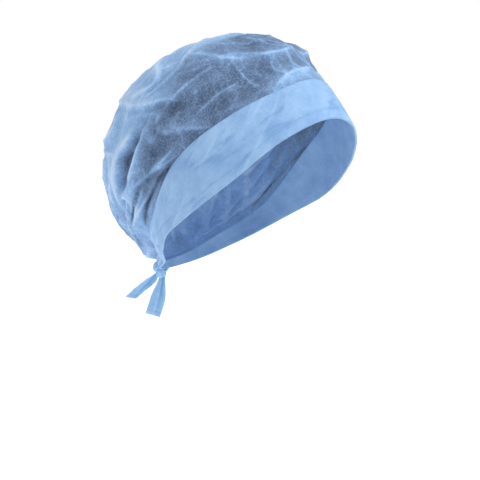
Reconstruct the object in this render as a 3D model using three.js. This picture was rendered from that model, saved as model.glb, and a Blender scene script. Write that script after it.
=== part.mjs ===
// A surgical cap of thin non-woven cloth, in the form that it has when worn and tied.
// Millimetres, +Z up. The brow is at -Y, the nape at +Y, the wearer's right at -X.
// The origin is in the middle of the head's hollow, on the upright line through its widest place.
import * as THREE from 'three';

// ---- driving sizes ----
const headHalfWidth = 75;      // the hollow's half width, over the ears
const browLength = 82;         // from the origin forward to the band's lower edge
const backLength = 97;         // from the origin back to the head's outline
const crownTop = new THREE.Vector3(0, 2, 87);
const crownWall = 1.2;
const bandWall = 1.6;          // two folded layers
const seamGap = 0.35;          // between the band's top edge and the crown's lower edge
const hemWidth = 9;            // the stitched hem along the band's lower edge
const hemSwell = 0.5;          // how far the hem's fold stands out
const fullHemShare = 0.5;      // the most of the band's height that the hem takes up
const bandSwell = 1.5;         // how far the band bows out between its edges
const fullBandHeight = 30;     // where the band is lower than this, its hem and swell shrink with it
const knotHalf = new THREE.Vector3(6.5, 5, 7);
const knotWraps = 3;
const knotTwist = 2.2;         // how far its wraps turn from top to bottom, in radians
const knotWaist = 0.09;        // how deep its wraps are drawn in
const knotGap = 0.3;
const knotDrop = 1.5;          // how far the knot's middle hangs below the band's end
const knotSeatRise = 0;        // where up the band's end the knot rests against it
const tailWall = 1.2;
const tailCrease = 1.4;        // depth of the fold along the middle of each tail
const tailCreaseFade = 0.6;    // how much of that depth is gone at the tail's end
const tailFlare = 1.6;         // how quickly a tail spreads to its full width

// One row for each section, from the brow (0 degrees) round to the nape (180), alike on both sides.
// Out is the distance beyond the head's outline, H the height. From below: rim is the band's lower
// edge, seam its top edge, then the crown's sag, belly and shoulder.
const sections = [
  { angle: 0, rimOut: 0, rimH: 32, seamOut: -22, seamH: 58, sagOut: -27, sagH: 65,
    bellyOut: -33, bellyH: 70, shoulderOut: -48, shoulderH: 80 },
  { angle: 30, rimOut: 0, rimH: 19, seamOut: -21, seamH: 51, sagOut: -27, sagH: 58,
    bellyOut: -34, bellyH: 64, shoulderOut: -49, shoulderH: 79 },
  { angle: 60, rimOut: 0, rimH: -14, seamOut: -13, seamH: 35, sagOut: -16, sagH: 45,
    bellyOut: -24, bellyH: 53, shoulderOut: -43, shoulderH: 74 },
  { angle: 90, rimOut: 0, rimH: -47, seamOut: -3, seamH: 3, sagOut: 1, sagH: 19,
    bellyOut: 1, bellyH: 36, shoulderOut: -23, shoulderH: 71 },
  { angle: 120, rimOut: -16, rimH: -74, seamOut: -7, seamH: -55, sagOut: 8, sagH: -31,
    bellyOut: 17, bellyH: 8, shoulderOut: -11, shoulderH: 59 },
  { angle: 150, rimOut: -22, rimH: -91, seamOut: -17, seamH: -80, sagOut: 13, sagH: -66,
    bellyOut: 25, bellyH: -8, shoulderOut: -7, shoulderH: 55 },
  { angle: 180, rimOut: -5, rimH: -104, seamOut: -3, seamH: -98, sagOut: 16, sagH: -78,
    bellyOut: 26, bellyH: -18, shoulderOut: -2, shoulderH: 52 },
];

// One row for each main fold of the crown: a soft ridge (or, with height below 0, a valley) along a
// curve. Angle is as above, with the wearer's right below 0. Rise goes from 0 at the seam to 1 at the top.
const folds = [
  // the swag over the top, and the rolls that run from it to the back
  { from: [-130, 0.72], via: [-67, 0.60], to: [0, 0.52], height: 3.0, width: 7 },
  { from: [-142, 0.51], via: [-99, 0.445], to: [-92, 0.40], height: 3.4, width: 6 },
  { from: [-130, 0.44], via: [-124, 0.37], to: [-142, 0.36], height: 3.2, width: 6 },
  { from: [-138, 0.70], via: [-96, 0.56], to: [-119, 0.50], height: 2.8, width: 6 },
  { from: [-101, 0.34], via: [-101, 0.29], to: [-100, 0.23], height: 2.2, width: 5 },
  // the deep pair of folds above the band, with the valley between them
  { from: [-110, 0.32], via: [-117, 0.26], to: [-133, 0.21], height: 4.0, width: 6 },
  { from: [-105, 0.28], via: [-111, 0.205], to: [-117, 0.14], height: 4.0, width: 5 },
  { from: [-107, 0.26], via: [-114, 0.23], to: [-123, 0.18], height: -3.5, width: 4 },
  { from: [-95, 0.24], via: [-89, 0.14], to: [-72, 0.02], height: 2.4, width: 6 },
  // the roll beside the band, and the pleats from it to the knot
  { from: [-91, 0.03], via: [-102, 0.075], to: [-114, 0.15], height: 3.0, width: 4 },
  { from: [-111, 0.10], via: [-124, 0.065], to: [-160, 0.045], height: 3.4, width: 4.5 },
  { from: [-114, 0.15], via: [-120, 0.07], to: [-164, 0.05], height: 2.8, width: 4.5 },
  // the low back, which falls straight to the knot
  { from: [-140, 0.15], via: [-150, 0.12], to: [-162, 0.10], height: -3.4, width: 8 },
  { from: [-150, 0.03], via: [-168, 0.035], to: [176, 0.03], height: 6.5, width: 9 },
  // the tuck over the brow
  { from: [-34, 0.05], via: [-20, 0.05], to: [8, 0.10], height: 1.6, width: 6 },
  // the left side
  { from: [126, 0.68], via: [92, 0.56], to: [40, 0.54], height: 2.8, width: 7 },
  { from: [132, 0.48], via: [102, 0.41], to: [88, 0.36], height: 3.2, width: 6 },
  { from: [110, 0.28], via: [116, 0.22], to: [130, 0.18], height: 4.0, width: 6 },
  { from: [95, 0.26], via: [86, 0.17], to: [72, 0.06], height: 2.2, width: 6 },
  { from: [92, 0.05], via: [103, 0.08], to: [116, 0.12], height: 3.0, width: 4 },
  { from: [112, 0.11], via: [124, 0.07], to: [158, 0.05], height: 3.4, width: 5 },
  // the back, and across the top
  { from: [168, 0.62], via: [176, 0.45], to: [158, 0.32], height: 3.0, width: 8 },
  { from: [-162, 0.56], via: [-150, 0.42], to: [-166, 0.30], height: 3.0, width: 8 },
  { from: [-178, 0.34], via: [174, 0.22], to: [-172, 0.12], height: 3.6, width: 7 },
  { from: [100, 0.78], via: [150, 0.84], to: [-158, 0.76], height: 2.4, width: 7 },
];

// Every fold fades in above the seam over this rise, and keeps some of its height at both ends.
const foldStartRise = 0.08;
const foldEndCut = 0.12;
const foldEndPower = 0.6;

// Small pleats that draw the crown together at the nape.
const napePleats = { start: 104, full: 126, pitch: 10, height: 2.0, riseFull: 0.07, riseEnd: 0.42 };

// One row for each tail, measured from the knot's centre: where it leaves the knot, where its end lies,
// and the direction that its width runs in.
const tails = [
  { name: 'tie_tail_right', root: [-3.5, 2.8, -5.25], bend: [-5.5, 12.0, -12.0], tip: [-9.4, 25.9, -25.7],
    across: [0.89, 0.15, -0.43], rootWidth: 5, tipWidth: 11 },
  { name: 'tie_tail_left', root: [3.1, 0.9, -6.85], bend: [4.5, 6.5, -21.0], tip: [4.7, 15.8, -40.6],
    across: [0.72, -0.67, -0.18], rootWidth: 5.5, tipWidth: 12 },
];

// ---- mesh steps ----
const backStart = 105;         // the columns stand closer together behind this angle than before it
const frontStep = 5.25;
const backStep = 3;
const sideAngles = [];         // section angles of the mesh's columns, on one side
for (let angle = 0; angle < backStart; angle += frontStep) sideAngles.push(angle);
for (let angle = backStart; angle <= 180; angle += backStep) sideAngles.push(angle);
const columnAngles = [...sideAngles, ...sideAngles.slice(1, -1).reverse().map((angle) => -angle)];
const crownRows = 22;
const bandRises = [0, 0.11, 0.22, 0.3, 0.65, 1];
const foldSteps = 14;
const tailSteps = 10;
const tailAcrossSteps = 4;
const knotRound = 18;
const knotRows = 10;

const cloth = (colour) => new THREE.MeshStandardMaterial({ color: colour, roughness: 0.9, metalness: 0 });
const crownCloth = cloth(0x8aa4c6);
const bandCloth = cloth(0xa7cbef);
const tieCloth = cloth(0x8bb3e2);

const smooth = (value) => THREE.MathUtils.smoothstep(value, 0, 1);

// ---- the sections, read smoothly between the rows ----
const column = (name) => {
  const values = sections.map((row) => row[name]);
  const step = sections[1].angle;
  return (angle) => {
    const place = Math.abs(angle) / step;
    const row = Math.min(Math.floor(place), values.length - 2);
    const last = values.length - 1;
    const at = (index) => values[last - Math.abs(last - Math.abs(index))];
    const t = place - row;
    const [before, here, next, after] = [at(row - 1), at(row), at(row + 1), at(row + 2)];
    const bend = 2 * before - 5 * here + 4 * next - after;
    const twist = 3 * (here - next) + after - before;
    return here + 0.5 * t * (next - before + t * (bend + t * twist));
  };
};

const levelNames = ['rim', 'seam', 'sag', 'belly', 'shoulder'];
const levels = levelNames.map((name) => ({ out: column(`${name}Out`), height: column(`${name}H`) }));

const planPoint = (angle, out, height) => {
  const turn = THREE.MathUtils.degToRad(angle);
  const length = Math.cos(turn) > 0 ? browLength : backLength;
  return new THREE.Vector3((headHalfWidth + out) * Math.sin(turn), -(length + out) * Math.cos(turn), height);
};

const levelPoint = (index, angle) => planPoint(angle, levels[index].out(angle), levels[index].height(angle));
const [rimLevel, seamLevel] = [0, 1];

// ---- the crown's smooth base: a curve from the seam over sag, belly and shoulder to the top ----
const crownLevels = [1, 2, 3, 4];
const spanLengths = crownLevels.map((level, index) => {
  let total = 0;
  for (const angle of columnAngles) {
    const next = index + 1 < crownLevels.length ? levelPoint(crownLevels[index + 1], angle) : crownTop;
    total += levelPoint(level, angle).distanceTo(next);
  }
  return total / columnAngles.length;
});
const fullLength = spanLengths.reduce((sum, length) => sum + length, 0);

const crownBase = (angle, rise) => {
  const points = crownLevels.map((level) => levelPoint(level, angle));
  const last = points[points.length - 1];
  const below = points[0].clone().multiplyScalar(2).sub(points[1]);
  const beyond = new THREE.Vector3(-last.x, 2 * crownTop.y - last.y, last.z);
  const path = [below, ...points, crownTop, beyond];
  let rest = rise * fullLength;
  let span = 0;
  while (span < spanLengths.length - 1 && rest > spanLengths[span]) {
    rest -= spanLengths[span];
    span += 1;
  }
  const t = Math.min(1, rest / spanLengths[span]);
  const [p0, p1, p2, p3] = path.slice(span, span + 4);
  const along = (axis) => {
    const bend = 2 * p0[axis] - 5 * p1[axis] + 4 * p2[axis] - p3[axis];
    const twist = 3 * (p1[axis] - p2[axis]) + p3[axis] - p0[axis];
    return p1[axis] + 0.5 * t * (p2[axis] - p0[axis] + t * (bend + t * twist));
  };
  return new THREE.Vector3(along('x'), along('y'), along('z'));
};

// The outward direction of a surface given as a function of angle and rise.
const outward = (surface, angle, rise) => {
  const turnStep = 1.5;
  const riseStep = 0.01;
  const round = surface(angle + turnStep, rise).sub(surface(angle - turnStep, rise));
  const up = surface(angle, Math.min(1, rise + riseStep)).sub(surface(angle, Math.max(0, rise - riseStep)));
  return round.cross(up).normalize();
};

// ---- the folds ----
const foldLines = folds.map(({ from, via, to, height, width }) => {
  const points = [];
  const turnTo = (angle) => angle + 360 * Math.round((from[0] - angle) / 360);
  for (let step = 0; step <= foldSteps; step += 1) {
    const t = step / foldSteps;
    const mix = (a, b, c) => (1 - t) * (1 - t) * a + 2 * t * (1 - t) * b + t * t * c;
    const angle = mix(from[0], turnTo(via[0]), turnTo(to[0]));
    const wrapped = angle - 360 * Math.round(angle / 360);
    points.push(crownBase(wrapped, mix(from[1], via[1], to[1])));
  }
  return { points, height, width };
});

const foldRelief = (point) => {
  let relief = 0;
  for (const { points, height, width } of foldLines) {
    let nearest = Infinity;
    let share = 0;
    for (let step = 0; step <= foldSteps; step += 1) {
      const distance = points[step].distanceTo(point);
      if (distance < nearest) {
        nearest = distance;
        share = step / foldSteps;
      }
    }
    const taper = Math.sin(Math.PI * (foldEndCut + (1 - 2 * foldEndCut) * share)) ** foldEndPower;
    relief += height * taper * Math.exp(-((nearest / width) ** 2));
  }
  return relief;
};

const pleatRelief = (angle, rise) => {
  const { start, full, pitch, height, riseFull, riseEnd } = napePleats;
  const byAngle = smooth((Math.abs(angle) - start) / (full - start));
  const byRise = smooth(rise / riseFull) * (1 - smooth((rise - riseFull) / (riseEnd - riseFull)));
  return height * byAngle * byRise * Math.cos((2 * Math.PI * angle) / pitch);
};

// ---- closed shells ----
const solid = (positions, indices) => {
  const geometry = new THREE.BufferGeometry();
  geometry.setAttribute('position', new THREE.Float32BufferAttribute(positions, 3));
  geometry.setIndex(indices);
  geometry.computeVertexNormals();
  return geometry;
};

// Two sheets of points, outer and inner, each a list of rings from below up. Where top is given, the
// rings close on it; otherwise the last rings are joined by a rim, as the first ones always are.
const shellGeometry = (outerRings, innerRings, top) => {
  const positions = [];
  const indices = [];
  const count = outerRings[0].length;
  const rings = outerRings.length;
  for (const ring of [...outerRings, ...innerRings]) {
    for (const point of ring) positions.push(...point);
  }
  const at = (sheet, ring, place) => (sheet * rings + ring) * count + (place % count);
  const quad = (sheet, ring, place) => {
    const [above, next] = [ring + 1, place + 1];
    return [at(sheet, ring, place), at(sheet, ring, next), at(sheet, above, next), at(sheet, above, place)];
  };
  for (let place = 0; place < count; place += 1) {
    for (let ring = 0; ring < rings - 1; ring += 1) {
      const outer = quad(0, ring, place);
      const inner = quad(1, ring, place);
      indices.push(outer[0], outer[1], outer[2], outer[0], outer[2], outer[3]);
      indices.push(inner[0], inner[2], inner[1], inner[0], inner[3], inner[2]);
    }
    const low = [at(0, 0, place), at(0, 0, place + 1), at(1, 0, place + 1), at(1, 0, place)];
    indices.push(low[0], low[2], low[1], low[0], low[3], low[2]);
    if (top) {
      const [outerTop, innerTop] = [2 * rings * count, 2 * rings * count + 1];
      indices.push(at(0, rings - 1, place), at(0, rings - 1, place + 1), outerTop);
      indices.push(at(1, rings - 1, place + 1), at(1, rings - 1, place), innerTop);
    } else {
      const end = rings - 1;
      const high = [at(0, end, place), at(0, end, place + 1), at(1, end, place + 1), at(1, end, place)];
      indices.push(high[0], high[1], high[2], high[0], high[2], high[3]);
    }
  }
  if (top) positions.push(...top.outer, ...top.inner);
  return solid(positions, indices);
};

// ---- the band's smooth base: from the rim to the seam, bowed a little, with its hem ----
const bandHeight = (angle) => levelPoint(rimLevel, angle).distanceTo(levelPoint(seamLevel, angle));

const bandBase = (angle, rise) => {
  const point = levelPoint(rimLevel, angle).lerp(levelPoint(seamLevel, angle), rise);
  const level = new THREE.Vector3(point.x, point.y, 0).normalize();
  const share = Math.min(1, bandHeight(angle) / fullBandHeight);
  return point.addScaledVector(level, bandSwell * share * Math.sin(Math.PI * rise));
};

// At the seam both pieces are cut along one direction, so that their edges face each other evenly.
const seamOutward = (angle) => outward(bandBase, angle, 1).add(outward(crownBase, angle, 0)).normalize();

const bandGeometry = () => {
  const outer = [];
  const inner = [];
  for (const rise of bandRises) {
    const outerRing = [];
    const innerRing = [];
    for (const angle of columnAngles) {
      const height = bandHeight(angle);
      const share = rise < 1 ? rise : 1 - seamGap / height;
      const direction = rise < 1 ? outward(bandBase, angle, rise) : seamOutward(angle);
      const hemShare = Math.min(fullHemShare, hemWidth / height);
      const full = Math.min(1, height / fullBandHeight);
      const swell = rise < 1 ? hemSwell * Math.max(0, 1 - rise / hemShare) * full : 0;
      const point = bandBase(angle, share);
      outerRing.push(point.clone().addScaledVector(direction, bandWall / 2 + swell));
      innerRing.push(point.clone().addScaledVector(direction, -bandWall / 2));
    }
    outer.push(outerRing);
    inner.push(innerRing);
  }
  return shellGeometry(outer, inner);
};

const crownGeometry = () => {
  const outer = [];
  const inner = [];
  for (let row = 0; row < crownRows; row += 1) {
    const rise = row / crownRows;
    const outerRing = [];
    const innerRing = [];
    for (const angle of columnAngles) {
      const direction = row === 0 ? seamOutward(angle) : outward(crownBase, angle, rise);
      const point = crownBase(angle, rise);
      const folded = smooth(rise / foldStartRise) * foldRelief(point) + pleatRelief(angle, rise);
      point.addScaledVector(direction, row === 0 ? 0 : folded);
      outerRing.push(point.clone().addScaledVector(direction, crownWall / 2));
      innerRing.push(point.clone().addScaledVector(direction, -crownWall / 2));
    }
    outer.push(outerRing);
    inner.push(innerRing);
  }
  const up = new THREE.Vector3(0, 0, crownWall / 2);
  return shellGeometry(outer, inner, { outer: crownTop.clone().add(up), inner: crownTop.clone().sub(up) });
};

// ---- the knot: a flattened ball, drawn in where the ties turn round each other ----
const napeOuter = bandBase(180, knotSeatRise).y + bandWall / 2;
const knotHeight = levelPoint(rimLevel, 180).z - knotDrop;
const knotCentre = new THREE.Vector3(0, napeOuter + knotGap + knotHalf.y, knotHeight);

const knotGeometry = () => {
  const positions = [];
  const indices = [];
  for (let row = 1; row < knotRows; row += 1) {
    const tilt = (Math.PI * row) / knotRows;
    for (let place = 0; place < knotRound; place += 1) {
      const turn = (2 * Math.PI * place) / knotRound;
      const round = knotWraps * (turn + Math.PI / 2) + knotTwist * (tilt - Math.PI / 2);
      const wrap = 1 - knotWaist * (1 - Math.cos(round)) * Math.sin(tilt);
      positions.push(knotHalf.x * wrap * Math.sin(tilt) * Math.cos(turn));
      positions.push(knotHalf.y * wrap * Math.sin(tilt) * Math.sin(turn));
      positions.push(knotHalf.z * Math.cos(tilt));
    }
  }
  const [top, bottom] = [positions.length / 3, positions.length / 3 + 1];
  positions.push(0, 0, knotHalf.z, 0, 0, -knotHalf.z);
  const last = (knotRows - 2) * knotRound;
  for (let place = 0; place < knotRound; place += 1) {
    const next = (place + 1) % knotRound;
    indices.push(top, place, next);
    indices.push(bottom, last + next, last + place);
    for (let row = 0; row < knotRows - 2; row += 1) {
      const [upper, lower] = [row * knotRound, (row + 1) * knotRound];
      indices.push(upper + place, lower + place, lower + next, upper + place, lower + next, upper + next);
    }
  }
  return solid(positions, indices);
};

// ---- a tail: a flat strip along a bent line, creased along its middle and cut square ----
const tailGeometry = ({ root, bend, tip, across, rootWidth, tipWidth }) => {
  const places = [root, bend, tip].map((place) => new THREE.Vector3(...place));
  const line = new THREE.QuadraticBezierCurve3(...places);
  const width = new THREE.Vector3(...across);
  const outer = [];
  for (let step = 0; step <= tailSteps; step += 1) {
    const t = step / tailSteps;
    const along = line.getTangent(t);
    const side = width.clone().addScaledVector(along, -along.dot(width)).normalize();
    const face = side.clone().cross(along).normalize();
    const half = THREE.MathUtils.lerp(rootWidth, tipWidth, smooth(tailFlare * t)) / 2;
    const loop = [];
    for (const layer of [1, -1]) {
      for (let place = 0; place <= tailAcrossSteps; place += 1) {
        const share = layer * ((2 * place) / tailAcrossSteps - 1);
        const crease = tailCrease * (0.5 - Math.abs(share)) * (1 - tailCreaseFade * t);
        const point = line.getPoint(t).addScaledVector(side, half * share);
        loop.push(point.addScaledVector(face, crease + (layer * tailWall) / 2));
      }
    }
    outer.push(loop);
  }
  const count = outer[0].length;
  const positions = outer.flat().flatMap((point) => [...point]);
  const indices = [];
  for (let step = 0; step < tailSteps; step += 1) {
    for (let place = 0; place < count; place += 1) {
      const next = (place + 1) % count;
      const [near, far] = [step * count, (step + 1) * count];
      indices.push(near + place, near + next, far + next, near + place, far + next, far + place);
    }
  }
  const end = tailSteps * count;
  for (let place = 0; place < tailAcrossSteps; place += 1) {
    const [a, b, c, d] = [place, place + 1, count - 2 - place, count - 1 - place];
    indices.push(a, d, c, a, c, b);
    indices.push(end + a, end + b, end + c, end + a, end + c, end + d);
  }
  return solid(positions, indices);
};

// ---- the assembly ----
const cap = new THREE.Group();

const piece = (name, geometry, material, place = new THREE.Vector3()) => {
  const mesh = new THREE.Mesh(geometry, material);
  mesh.name = name;
  mesh.position.copy(place);
  cap.add(mesh);
};

piece('crown', crownGeometry(), crownCloth);
piece('headband', bandGeometry(), bandCloth);
piece('knot', knotGeometry(), tieCloth, knotCentre);
for (const tail of tails) piece(tail.name, tailGeometry(tail), tieCloth, knotCentre);

export default cap;
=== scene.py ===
"""The finish of a tied surgical cap of thin non-woven cloth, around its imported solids."""

import math
from collections import namedtuple

import bpy
import numpy as np
from bpy.props import FloatProperty, FloatVectorProperty, IntProperty, PointerProperty
from bpy.types import Operator, Panel, PropertyGroup
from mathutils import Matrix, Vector, noise


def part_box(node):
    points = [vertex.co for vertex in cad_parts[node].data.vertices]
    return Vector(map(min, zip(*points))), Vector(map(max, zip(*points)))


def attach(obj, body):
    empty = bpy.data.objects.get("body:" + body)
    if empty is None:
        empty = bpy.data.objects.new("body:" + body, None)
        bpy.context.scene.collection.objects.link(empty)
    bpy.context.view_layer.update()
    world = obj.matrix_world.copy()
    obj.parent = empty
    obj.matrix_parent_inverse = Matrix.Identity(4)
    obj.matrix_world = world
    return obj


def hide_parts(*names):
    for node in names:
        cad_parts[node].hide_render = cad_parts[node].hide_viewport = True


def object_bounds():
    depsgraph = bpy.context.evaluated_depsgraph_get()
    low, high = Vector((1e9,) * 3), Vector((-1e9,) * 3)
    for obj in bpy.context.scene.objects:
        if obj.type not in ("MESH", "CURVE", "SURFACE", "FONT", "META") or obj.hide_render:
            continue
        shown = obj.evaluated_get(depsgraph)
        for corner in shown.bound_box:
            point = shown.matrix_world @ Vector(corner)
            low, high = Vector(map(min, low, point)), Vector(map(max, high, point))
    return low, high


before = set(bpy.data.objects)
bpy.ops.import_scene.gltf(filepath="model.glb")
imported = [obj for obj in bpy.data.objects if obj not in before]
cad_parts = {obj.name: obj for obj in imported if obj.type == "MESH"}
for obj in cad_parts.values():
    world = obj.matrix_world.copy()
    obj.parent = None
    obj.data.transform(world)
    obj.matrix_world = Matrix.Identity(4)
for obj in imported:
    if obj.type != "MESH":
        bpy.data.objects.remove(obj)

bl_info = {
    "name": "Surgical cap",
    "version": (1, 0, 0),
    "blender": (4, 5, 0),
    "location": "3D View > Sidebar > Cap",
    "description": "Makes the sheer gathered crown, the folded band and the knotted ties of a surgical cap",
    "category": "Object",
}

MM = 0.001
CAD_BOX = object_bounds()
HEAD_BODY = "root"

# ---- the cap's sections, in millimetres, as the solids have them ----
# One row every 30 degrees from the brow (0) round to the nape (180), alike on both sides. Each pair is
# (distance beyond the head's outline, height).
HEAD_HALF_WIDTH, BROW_LENGTH, BACK_LENGTH = 75.0, 82.0, 97.0
CROWN_TOP = np.array([0.0, 2.0, 87.0])
Section = namedtuple("Section", "angle rim seam sag belly shoulder")
SECTIONS = (
    Section(0, (0, 32), (-22, 58), (-27, 65), (-33, 70), (-48, 80)),
    Section(30, (0, 19), (-21, 51), (-27, 58), (-34, 64), (-49, 79)),
    Section(60, (0, -14), (-13, 35), (-16, 45), (-24, 53), (-43, 74)),
    Section(90, (0, -47), (-3, 3), (1, 19), (1, 36), (-23, 71)),
    Section(120, (-16, -74), (-7, -55), (8, -31), (17, 8), (-11, 59)),
    Section(150, (-22, -91), (-17, -80), (13, -66), (25, -8), (-7, 55)),
    Section(180, (-5, -104), (-3, -98), (16, -78), (26, -18), (-2, 52)),
)
CROWN_LEVELS = ("seam", "sag", "belly", "shoulder")
EAR_ANGLE = 105
FULL_BAND = 30.0  # the band's height from which its hem and gathers are full size

# ---- the crown's folds ----
# A ridge, or a valley where its height is below 0, along a curve that starts at an (angle, rise), bends
# towards a second and ends at a third. The rise is 0 at the seam and 1 at the top. Lean 1 drops steeply
# to the right of the way that it runs, -1 to its left, and 0 to both alike. Heights and widths are in
# millimetres.
# A valley is also painted darker in the crown's colour, as painted shade.
Fold = namedtuple("Fold", "start via end height width lean")
MAIN_FOLDS = (
    Fold((-116, 0.77), (-60, 0.48), (8, 0.57), 2.2, 7, 0.6),  # swag over the top
    Fold((-142, 0.51), (-99, 0.445), (-92, 0.40), 3.0, 6, 1),  # roll to the back
    Fold((-130, 0.44), (-122, 0.36), (-154, 0.35), 2.0, 6, -0.5),
    Fold((-138, 0.70), (-96, 0.56), (-119, 0.50), 2.8, 6, -1),
    Fold((-101, 0.34), (-101, 0.29), (-100, 0.23), 2.2, 5, 0),
    Fold((-110, 0.32), (-126, 0.245), (-128, 0.165), 4.0, 6, -1),  # deep pair of folds
    Fold((-102, 0.31), (-108, 0.21), (-122, 0.15), 4.0, 5, 1),
    Fold((-106, 0.29), (-116, 0.24), (-124, 0.18), -3.8, 4, 0),
    Fold((-95, 0.24), (-89, 0.14), (-72, 0.02), 2.4, 6, 1),
    Fold((-89, 0.00), (-105, 0.125), (-127, 0.15), 3.6, 4, -1),  # roll beside the band
    Fold((-111, 0.10), (-124, 0.065), (-160, 0.045), 3.4, 4.5, 0.6),  # pleats to the knot
    Fold((-114, 0.15), (-120, 0.07), (-164, 0.05), 2.8, 4.5, 0.6),
    Fold((-140, 0.15), (-150, 0.12), (-162, 0.10), -3.4, 8, 0),  # the straight fall of the low back
    Fold((-150, 0.03), (-168, 0.035), (176, 0.03), 6.5, 9, 0),
    Fold((-30, 0.05), (-14, 0.14), (16, 0.16), 0.7, 7, 0.5),  # tuck over the brow
    Fold((126, 0.68), (92, 0.56), (40, 0.54), 2.2, 7, -0.6),  # the left side
    Fold((132, 0.48), (102, 0.41), (88, 0.36), 3.2, 6, -1),
    Fold((110, 0.28), (116, 0.22), (130, 0.18), 4.0, 6, 1),
    Fold((95, 0.26), (86, 0.17), (72, 0.06), 2.2, 6, -1),
    Fold((92, 0.05), (103, 0.08), (116, 0.12), 3.0, 4, 1),
    Fold((112, 0.11), (124, 0.07), (158, 0.05), 3.4, 5, -0.6),
    Fold((168, 0.62), (176, 0.45), (158, 0.32), 3.0, 8, 0.5),  # the back
    Fold((-162, 0.56), (-150, 0.42), (-166, 0.30), 3.0, 8, -0.5),
    Fold((-178, 0.34), (174, 0.22), (-172, 0.12), 3.6, 7, 0.5),
    Fold((100, 0.78), (150, 0.84), (-158, 0.76), 2.4, 7, 0.5),
)
FINE_CREASES = (
    Fold((-112, 0.74), (-92, 0.565), (-109, 0.49), 1.4, 3, -0.5),
    Fold((-70, 0.60), (-55, 0.485), (-42, 0.15), 0.9, 2.5, 0),
    Fold((-80, 0.56), (-89, 0.47), (-96, 0.38), 1.0, 2.5, 0),
    Fold((-77, 0.22), (-74, 0.35), (-60, 0.37), 0.6, 3, 0),
    Fold((-98, 0.37), (-97, 0.32), (-96, 0.26), 1.4, 3, 0),
    Fold((-121, 0.17), (-120, 0.10), (-156, 0.07), 2.2, 3, 0.5),
    Fold((-98, 0.01), (-114, 0.114), (-170, 0.035), 3.2, 3.0, 0.5),
    Fold((-96, 0.01), (-109, 0.07), (-124, 0.03), -4.0, 1.8, 0),
    Fold((-116, 0.11), (-130, 0.055), (-168, 0.05), -2.8, 2.2, 0),
    Fold((-150, 0.325), (-131, 0.33), (-121, 0.28), 1.4, 3, 0),
    Fold((-92, 0.07), (-99, 0.09), (-107, 0.10), 1.2, 2.5, 0),
    Fold((-131, 0.22), (-145, 0.20), (-150, 0.12), 1.6, 3.5, 0),
    Fold((-4, 0.56), (-9, 0.34), (-1, 0.12), 0.9, 2.5, 0),  # over the brow
    Fold((14, 0.50), (14, 0.28), (15, 0.08), 0.9, 2.5, 0),
    Fold((-28, 0.44), (-26, 0.30), (-18, 0.17), 0.9, 2.5, 0),
    Fold((-62, 0.88), (-30, 0.84), (4, 0.62), 1.0, 3, 0),
    Fold((-144, 0.30), (-148, 0.16), (-158, 0.05), 2.0, 3, 0),
    Fold((-132, 0.25), (-138, 0.14), (-148, 0.05), 2.0, 3, 0),
    Fold((72, 0.56), (58, 0.46), (46, 0.26), 0.9, 2.5, 0),  # the left side
    Fold((84, 0.54), (90, 0.46), (97, 0.36), 1.0, 2.5, 0),
    Fold((30, 0.50), (26, 0.36), (40, 0.20), 0.9, 2.5, 0),
    Fold((64, 0.40), (76, 0.34), (92, 0.34), 0.9, 2.5, 0),
    Fold((121, 0.18), (122, 0.10), (154, 0.07), 2.2, 3, -0.5),
    Fold((90, 0.01), (118, 0.12), (168, 0.02), 2.6, 3.2, -0.5),
    Fold((98, 0.02), (111, 0.095), (126, 0.02), -3.6, 1.8, 0),
    Fold((134, 0.30), (142, 0.18), (152, 0.06), 2.0, 3, 0),
    Fold((162, 0.26), (164, 0.16), (170, 0.05), 1.8, 3, 0),  # the back
    Fold((-168, 0.24), (-166, 0.14), (-172, 0.05), 1.8, 3, 0),
)


def catmull(before, here, after, beyond, t):
    """A smooth curve from here to after, at share t."""
    bend = 2 * before - 5 * here + 4 * after - beyond
    twist = 3 * (here - after) + beyond - before
    return here + 0.5 * t * (after - before + t * (bend + t * twist))


def smooth(value):
    value = np.clip(value, 0.0, 1.0)
    return value * value * (3 - 2 * value)


def ramp(value, start, width):
    """0 up to start and 1 from start + width on, smooth between."""
    return smooth((value - start) / width)


def fade(value, start, width):
    """1 up to start and 0 from start + width on, smooth between."""
    return 1 - ramp(value, start, width)


def peak(value, centre, width):
    """1 at a centre, falling off evenly to both sides over about this width."""
    return np.exp(-(((value - centre) / width) ** 2))


def read_column(values, angle):
    """A section column at these angles, read smoothly between its rows."""
    values = np.asarray(values, float)
    last = len(values) - 1
    place = np.abs(angle) / (180 / last)
    row = np.minimum(np.floor(place), last - 1).astype(int)
    at = lambda index: values[last - np.abs(last - np.abs(index))]
    return catmull(at(row - 1), at(row), at(row + 1), at(row + 2), place - row)


def level_point(level, angle):
    """The points of one level of the sections, at an array of angles."""
    out = read_column([getattr(row, level)[0] for row in SECTIONS], angle)
    height = read_column([getattr(row, level)[1] for row in SECTIONS], angle)
    turn = np.radians(angle)
    length = np.where(np.cos(turn) > 0, BROW_LENGTH, BACK_LENGTH)
    return np.stack([(HEAD_HALF_WIDTH + out) * np.sin(turn), -(length + out) * np.cos(turn), height], -1)


def side_columns(front_step, back_step):
    """Angles all round, closer together behind the ears than before them."""
    side = np.concatenate([np.arange(0, EAR_ANGLE, front_step), np.arange(EAR_ANGLE, 180.001, back_step)])
    return np.concatenate([side, -side[-2:0:-1]])


def span_lengths():
    """The mean length of each stretch of the crown's curve, seam to top."""
    angle = side_columns(front_step=5.25, back_step=3)
    points = [level_point(name, angle) for name in CROWN_LEVELS]
    points.append(np.broadcast_to(CROWN_TOP, points[0].shape))
    return [float(np.linalg.norm(b - a, axis=-1).mean()) for a, b in zip(points, points[1:])]


SPANS = span_lengths()


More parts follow.
